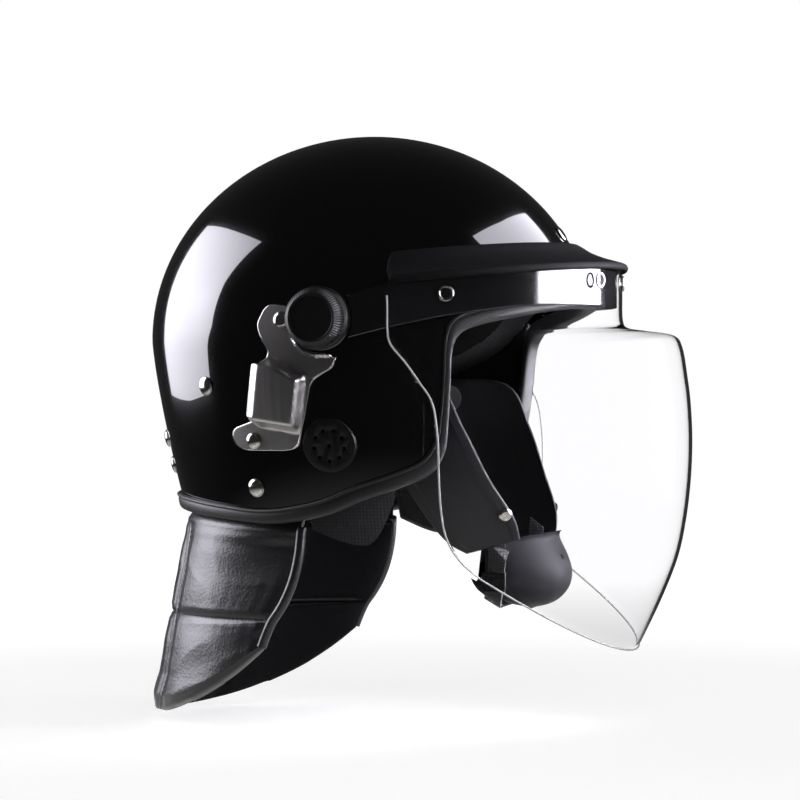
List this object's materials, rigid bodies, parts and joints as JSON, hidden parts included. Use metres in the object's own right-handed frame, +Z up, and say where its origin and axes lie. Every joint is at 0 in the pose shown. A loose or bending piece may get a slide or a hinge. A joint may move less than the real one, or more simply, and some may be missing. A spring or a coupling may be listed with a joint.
{
  "type": "riot helmet",
  "caption": "Moulded riot helmet with a lifting clear visor on clamp knobs, stamped mask brackets, a padded neck guard and a swinging chin harness.",
  "frame": {"origin": "middle of the shell's widest line, where the middle of the wearer's head sits", "axes": "+X to the front, -Y the wearer's right, +Z up"},
  "size_m": [0.3293, 0.2702, 0.3443],
  "materials": {
    "shell_gloss": "high gloss lacquer",
    "trim_rubber": "satin",
    "liner_foam": "matte",
    "pad_cloth": "soft",
    "black_plastic": "satin",
    "frame_plastic": "matte",
    "steel": "brushed",
    "rivet_steel": "polished",
    "clear_lens": "clear",
    "seal_rubber": "matte",
    "guard_leather": "glossy, grained",
    "strap_leather": "satin",
    "cup_plastic": "satin",
    "webbing": "woven"
  },
  "bodies": {
    "helmet": {"shell": "shell_gloss", "edge_trim": "trim_rubber", "impact_liner": "liner_foam", "comfort_band": "pad_cloth", "crown_pad": "pad_cloth", "ear_pad_right": "strap_leather", "ear_pad_left": "strap_leather", "ear_vent_right": "black_plastic", "ear_vent_left": "black_plastic", "mask_bracket_right": "steel", "mask_bracket_left": "steel", "bracket_rivets": "rivet_steel", "shell_rivets": "rivet_steel", "pivot_bolt_right": "steel", "pivot_bolt_left": "steel", "pivot_base_right": "black_plastic", "pivot_base_left": "black_plastic", "pivot_washer_right": "steel", "pivot_washer_left": "steel", "neck_guard": "guard_leather", "harness_anchor_right": "steel", "harness_anchor_left": "steel"},
    "visor": {"visor_lens": "clear_lens", "visor_frame": "frame_plastic", "brow_seal": "seal_rubber", "visor_rivets": "rivet_steel"},
    "knob_right": {"knob_right": "black_plastic"},
    "knob_left": {"knob_left": "black_plastic"},
    "chin_harness": {"cheek_piece_right": "strap_leather", "cheek_piece_left": "strap_leather", "cheek_snaps": "rivet_steel", "chin_cup": "cup_plastic", "jaw_strap": "webbing", "jaw_buckle": "black_plastic"}
  },
  "joints": [
    {"name": "visor_lift", "type": "hinge", "parent": "helmet", "child": "visor", "pos_m": [0.006, 0, 0.01], "axis": [0, -1, 0], "range_deg": [0, 75]},
    {"name": "knob_right_turn", "type": "hinge", "parent": "helmet", "child": "knob_right", "pos_m": [0.006, -0.12, 0.01], "axis": [0, -1, 0], "range_deg": [0, 180]},
    {"name": "knob_left_turn", "type": "hinge", "parent": "helmet", "child": "knob_left", "pos_m": [0.006, 0.12, 0.01], "axis": [0, 1, 0], "range_deg": [0, 180]},
    {"name": "harness_swing", "type": "hinge", "parent": "helmet", "child": "chin_harness", "pos_m": [0.025, 0, -0.035], "axis": [0, -1, 0], "range_deg": [0, 40]}
  ]
}
